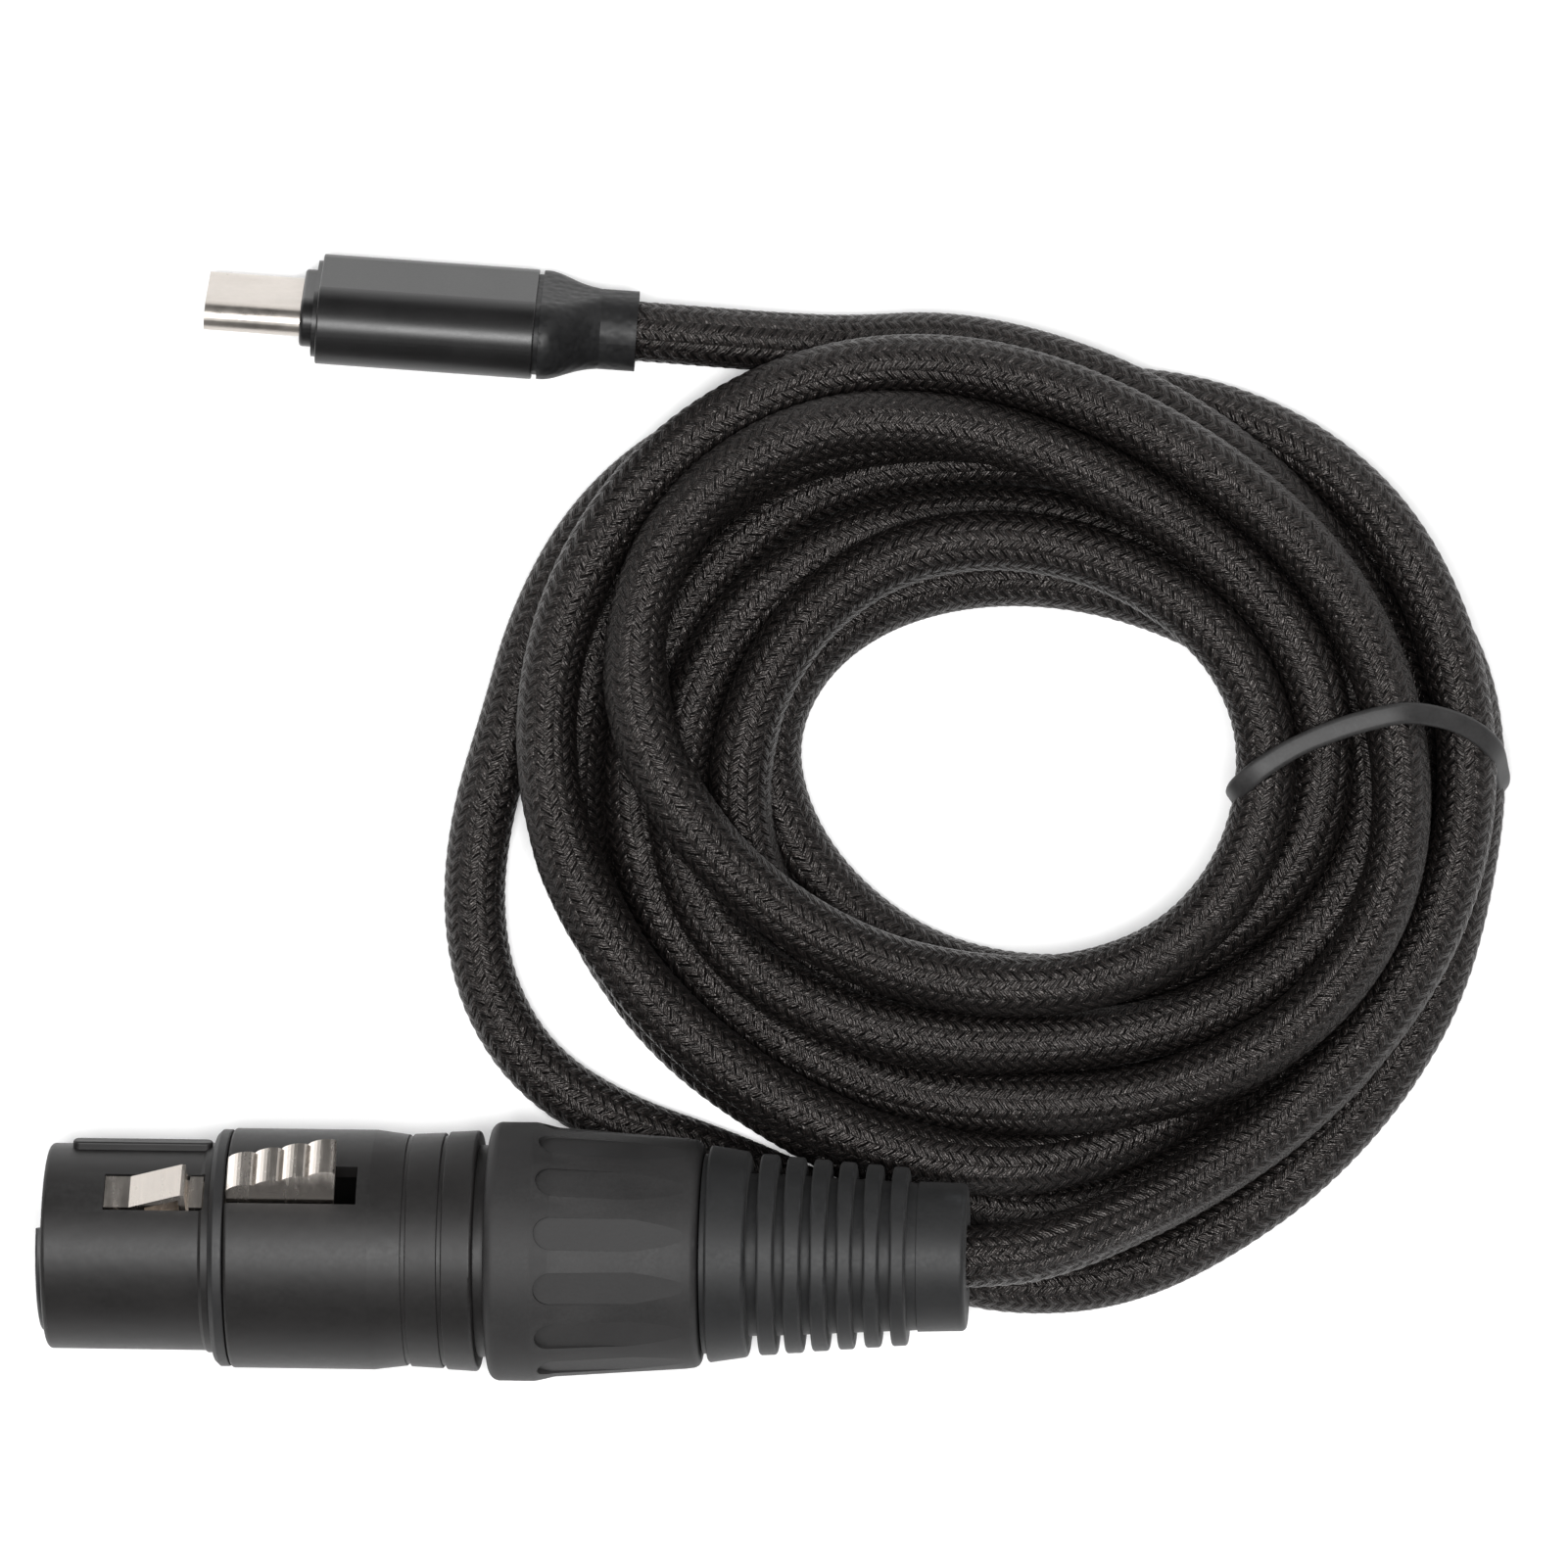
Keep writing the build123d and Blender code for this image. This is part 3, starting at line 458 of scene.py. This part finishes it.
def tie_band():
    # plan line of the tie, then its profile: a taut loop over the strands that it crosses
    plan = read_line("tie_line", [(x / 1000, y / 1000, 0.0) for x, y in TIE])
    e0 = plan[0] - plan[3]
    e1 = plan[-1] - plan[-4]
    plan = np.vstack([plan[0] + e0 / np.linalg.norm(e0) * 0.004, plan, plan[-1] + e1 / np.linalg.norm(e1) * 0.003])
    plan, s = even(plan, 0.00025)
    r = CORD_D / 2
    pts = []
    near = LINE[(LINE[:, 0] > 0.054) & (LINE[:, 1] > 0.030) & (LINE[:, 1] < 0.050)]
    for k in range(len(plan)):
        p = plan[k]
        t = plan[min(k + 1, len(plan) - 1)] - plan[max(k - 1, 0)]
        t /= np.linalg.norm(t)
        d = np.abs((near[:, :2] - p[:2]) @ t[:2])
        side = np.abs((near[:, 0] - p[0]) * -t[1] + (near[:, 1] - p[1]) * t[0])
        m = (side < 0.0006) & (d < r)
        if m.any():
            lift = np.sqrt(np.maximum(r * r - d[m] ** 2, 0))
            pts.append((s[k], float((near[m, 2] + lift).max()), float((near[m, 2] - lift).min())))
    pts = np.array(pts)
    up = [(a, b) for a, b, c in pts]
    lo = [(a, c) for a, b, c in pts]
    allp = sorted(set([(round(a, 6), round(b, 6)) for a, b in up + lo]))

    def cross(o, a, b):
        return (a[0] - o[0]) * (b[1] - o[1]) - (a[1] - o[1]) * (b[0] - o[0])

    def half(ps):
        out = []
        for q in ps:
            while len(out) >= 2 and cross(out[-2], out[-1], q) <= 0:
                out.pop()
            out.append(q)
        return out

    hull = np.array(half(allp)[:-1] + half(allp[::-1])[:-1])
    closed = np.vstack([hull, hull[:1]])
    L = np.r_[0, np.cumsum(np.linalg.norm(np.diff(closed, axis=0), axis=1))]
    n = 300
    q = np.linspace(0, L[-1], n, endpoint=False)
    loop = np.stack([np.interp(q, L, closed[:, k]) for k in (0, 1)], 1)
    for _ in range(14):
        loop = 0.5 * loop + 0.25 * (np.roll(loop, 1, 0) + np.roll(loop, -1, 0))
    tg = np.roll(loop, -1, 0) - np.roll(loop, 1, 0)
    tg /= np.linalg.norm(tg, axis=1)[:, None]
    out = np.stack([tg[:, 1], -tg[:, 0]], 1)
    loop = loop + out * 0.00036
    # back to space
    sx = np.interp(loop[:, 0], s, plan[:, 0])
    sy = np.interp(loop[:, 0], s, plan[:, 1])
    over = np.where(loop[:, 0] < s[0], loop[:, 0] - s[0], np.where(loop[:, 0] > s[-1], loop[:, 0] - s[-1], 0.0))
    e0 = plan[1] - plan[0]; e0 /= np.linalg.norm(e0)
    e1 = plan[-1] - plan[-2]; e1 /= np.linalg.norm(e1)
    sx = sx + np.where(over < 0, e0[0] * over, e1[0] * over)
    sy = sy + np.where(over < 0, e0[1] * over, e1[1] * over)
    C = np.stack([sx, sy, np.maximum(loop[:, 1], 0.0004)], 1)
    # the loop leans: its sides run down and back, so the lower pass lies nearer the connectors
    low = 1.0 - C[:, 2] / C[:, 2].max()
    part = np.clip((loop[:, 0] - s[0]) / (s[-1] - s[0]), 0, 1)
    C[:, 1] -= (0.0034 + 0.0026 * part) * low
    C[:, 0] += np.where(part < 0.5, -0.0006, 0.0002) * low
    # band section: 1.75 wide, 0.6 thick, rounded edges
    tan = np.gradient(plan, axis=0)
    tan /= np.linalg.norm(tan, axis=1)[:, None]
    px = np.interp(loop[:, 0], s, tan[:, 0]); py = np.interp(loop[:, 0], s, tan[:, 1])
    along = np.stack([px, py, np.zeros_like(px)], 1)
    along /= np.linalg.norm(along, axis=1)[:, None]
    wide = np.stack([-along[:, 1], along[:, 0], np.zeros(n)], 1)
    nrm = along * out[:, :1] + np.array([0, 0, 1.0]) * out[:, 1:]
    run = np.roll(C, -1, 0) - np.roll(C, 1, 0)
    run /= np.linalg.norm(run, axis=1)[:, None]
    nrm = nrm - run * np.sum(nrm * run, axis=1)[:, None]
    nrm /= np.linalg.norm(nrm, axis=1)[:, None]
    side = np.cross(run, nrm)
    wide = side * np.sign(np.sum(side * wide, axis=1))[:, None]
    sec = []
    W, H, RR = 0.000875, 0.00040, 0.00037
    for cx, cy, a0 in ((W - RR, H - RR, 0), (-(W - RR), H - RR, 90), (-(W - RR), -(H - RR), 180), (W - RR, -(H - RR), 270)):
        for da in (0, 22.5, 45, 67.5, 90):
            a = math.radians(a0 + da)
            sec.append((cx + RR * math.cos(a), cy + RR * math.sin(a)))
    sec = np.array(sec)
    k = len(sec)
    wob = 1 + 0.02 * np.interp(np.arange(n), np.arange(0, n + 10, 10), rng.normal(size=n // 10 + 1))
    V = C[:, None, :] + wide[:, None, :] * (sec[None, :, 0:1] * wob[:, None, None]) + nrm[:, None, :] * sec[None, :, 1:2]
    V[..., 2] = np.maximum(V[..., 2], 0.00003)
    i = np.arange(n)[:, None]; j = np.arange(k)[None, :]
    F = np.stack([i * k + j, i * k + (j + 1) % k, ((i + 1) % n) * k + (j + 1) % k, ((i + 1) % n) * k + j], -1).reshape(-1, 4)
    ob = mesh_from("cord_tie_band", V.reshape(-1, 3), F)
    bm = bmesh.new(); bm.from_mesh(ob.data); bmesh.ops.recalc_face_normals(bm, faces=bm.faces); bm.to_mesh(ob.data); bm.free()
    return ob


tie = tie_band()
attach(tie, "cable")
tie.data.materials.append(surface("tie_elastomer", (0.019, 0.0185, 0.0185), (0.031, 0.030, 0.030), rough=(0.46, 0.56), grain=4200.0, grain_h=8e-6, blotch=500.0, spec=0.30))

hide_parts("cord_tie")
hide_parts("cord_coil", "cord_lead_xlr", "cord_lead_usb", "cord_loose_turn")

# ------------------------------------------------------------------ finishes of the hard parts
black_shell = surface("black_lacquer", (0.0072, 0.0066, 0.0065), (0.0120, 0.0111, 0.0109), rough=(0.45, 0.53), grain=2600.0, grain_h=1.6e-6, blotch=180.0, peel=(900.0, 1.4e-5), spec=0.33, coat=0.0, coat_rough=0.18, scratches=0.12, wear=(0.30, (0.035, 0.035, 0.035)))
nut = surface("nut_moulding", (0.0130, 0.0125, 0.0126), (0.0220, 0.0212, 0.0213), spec=0.35, rough=(0.56, 0.68), grain=3800.0, grain_h=7e-6, blotch=160.0, wear=(0.25, (0.060, 0.058, 0.058)), scratches=0.15)
boot = surface("boot_elastomer", (0.0090, 0.0092, 0.0096), (0.0150, 0.0152, 0.0157), spec=0.33, rough=(0.50, 0.62), grain=3200.0, grain_h=5.0e-6, blotch=260.0, sheen=0.03, wear=(0.3, (0.045, 0.049, 0.052)))
nickel = surface("satin_nickel", (0.90, 0.83, 0.765), (0.95, 0.88, 0.81), rough=(0.21, 0.27), metallic=1.0, grain=1800.0, grain_h=1.0e-7, blotch=300.0, brushed=((300, 30, 30), 6.0, 3.0e-7))
usb_nickel = surface("plug_nickel", (0.46, 0.425, 0.390), (0.53, 0.490, 0.452), rough=(0.30, 0.40), metallic=1.0, grain=1800.0, grain_h=2.5e-7, blotch=320.0, brushed=((30, 300, 30), 6.0, 5.0e-7), scratches=0.1)
anodised = surface("anodised_black", (0.0050, 0.0048, 0.0049), (0.0085, 0.0082, 0.0084), spec=0.36, rough=(0.33, 0.40), metallic=0.0, grain=5200.0, grain_h=2.0e-6, blotch=240.0, scratches=0.1, wear=(0.25, (0.06, 0.06, 0.06)))
relief = surface("textured_relief", (0.0060, 0.0060, 0.0063), (0.0110, 0.0110, 0.0115), spec=0.26, rough=(0.42, 0.56), grain=2400.0, grain_h=5.0e-6, blotch=300.0, peel=(1500.0, 6.0e-5))
seal = surface("seal_rubber", (0.006, 0.006, 0.0065), (0.012, 0.012, 0.0125), rough=(0.5, 0.65), grain=3200.0, grain_h=6.0e-6)
insert = surface("insert_plastic", (0.010, 0.010, 0.011), (0.018, 0.018, 0.019), rough=(0.42, 0.55), grain=2800.0, grain_h=5.0e-6)
plated = surface("contact_plating", (0.60, 0.54, 0.42), (0.76, 0.68, 0.52), rough=(0.16, 0.26), metallic=1.0, grain=1800.0, grain_h=3e-7)
wires = surface("wire_insulation", (0.38, 0.05, 0.04), (0.52, 0.08, 0.06), rough=(0.35, 0.45), grain=1800.0, grain_h=2e-6)
chuck = surface("chuck_plastic", (0.52, 0.52, 0.49), (0.64, 0.64, 0.60), rough=(0.42, 0.55), grain=2600.0, grain_h=4e-6)
plast = surface("carrier_plastic", (0.010, 0.010, 0.011), (0.018, 0.018, 0.019), rough=(0.4, 0.5), grain=2600.0, grain_h=4e-6)
board = surface("board_laminate", (0.008, 0.045, 0.016), (0.014, 0.075, 0.026), rough=(0.3, 0.4), grain=3000.0, grain_h=3e-6)
chip = surface("chip_resin", (0.010, 0.010, 0.011), (0.018, 0.018, 0.019), rough=(0.5, 0.62), grain=5200.0, grain_h=6e-6)
caps = surface("capacitor_ceramic", (0.30, 0.19, 0.09), (0.42, 0.28, 0.14), rough=(0.4, 0.5), grain=3000.0, grain_h=3e-6)
inner = surface("clamped_sleeve", (0.006, 0.0055, 0.0055), (0.018, 0.0165, 0.016), rough=(0.45, 0.6), grain=1500.0, grain_h=4e-5)

FIN = {
    "xlr_shell": black_shell, "front_seal_ring": seal, "contact_insert": insert,
    "contact_one": plated, "contact_two": plated, "contact_three": plated,
    "signal_wires": wires, "shield_contact": plated, "latch_tongue": nickel, "latch_button": nickel,
    "latch_pin": nickel, "cable_chuck": chuck, "clamp_nut": nut, "strain_relief_boot": boot,
    "cord_clamped_end": inner, "usb_plug_shell": usb_nickel, "usb_contact_carrier": plast,
    "usb_contacts": plated, "usb_front_collar": anodised, "usb_housing": anodised,
    "usb_strain_relief": relief, "usb_circuit_board": board, "converter_chip": chip, "board_capacitors": caps,
}
for node in NODES:
    if node in FIN:
        dress(node, FIN[node])
    elif not node.startswith("cord_"):
        print("no finish for", node)

# ------------------------------------------------------------------ floor and light
def floor_material():
    m, nt, b = nodes_of("pale_floor")
    g = G(nt)
    co = g.coords()
    n1 = g.noise(co, 6.0, 3.0, 0.5)
    nt.links.new(g.mix(n1, rgb(0.80, 0.80, 0.80), rgb(0.84, 0.84, 0.84)), b.inputs["Base Color"])
    nt.links.new(g.remap(n1, 0.3, 0.7, 0.7, 0.8), b.inputs["Roughness"])
    b.inputs["Specular IOR Level"].default_value = 0.2
    b.inputs["Emission Color"].default_value = (1.0, 1.0, 1.0, 1.0)
    b.inputs["Emission Strength"].default_value = 0.22
    return m


bm = bmesh.new()
bmesh.ops.create_grid(bm, x_segments=8, y_segments=8, size=1.6)
fme = bpy.data.meshes.new("floor")
bm.to_mesh(fme); bm.free()
floor = bpy.data.objects.new("floor", fme)
floor.location = (0, 0, min(0.0, CAD_BOX[0][2]) - 0.00002)
bpy.context.collection.objects.link(floor)
floor.data.materials.append(floor_material())

scene = bpy.context.scene
scene.view_settings.view_transform = "Standard"
scene.view_settings.look = "None"
world = bpy.data.worlds.new("studio")
scene.world = world
world.use_nodes = True
wt = world.node_tree
bg = next(n for n in wt.nodes if n.type == "BACKGROUND")
bg.inputs["Color"].default_value = (1.0, 1.0, 1.0, 1.0)
gw = G(wt)
wsep = wt.nodes.new("ShaderNodeSeparateXYZ")
wt.links.new(wt.nodes.new("ShaderNodeTexCoord").outputs["Generated"], wsep.inputs[0])
horizon = gw.remap(wsep.outputs[2], 0.08, 0.20, 0.80, 0.0, True)
wt.links.new(gw.math("ADD", gw.remap(wsep.outputs[2], 0.15, 1.0, 0.03, 0.32, True), horizon), bg.inputs["Strength"])


def area(name, loc, target, size, power, colour=(1, 1, 1), size_y=None):
    ld = bpy.data.lights.new(name, "AREA")
    ld.energy = power
    ld.color = colour
    ld.shape = "RECTANGLE"
    ld.size = size
    ld.size_y = size_y or size
    ob = bpy.data.objects.new(name, ld)
    ob.location = loc
    ob.rotation_euler = (Vector(target) - Vector(loc)).to_track_quat("-Z", "Y").to_euler()
    bpy.context.collection.objects.link(ob)
    return ob


MID = (0.02, 0.037, 0.0)
area("key_soft", (0.03, -0.06, 1.20), MID, 0.50, 16.5, size_y=0.28)
area("top_soft", (-0.55, 0.30, 1.00), MID, 0.40, 3.0, size_y=0.40)
area("rim_soft", (0.60, 0.70, 0.75), MID, 0.40, 1.6, size_y=0.3)
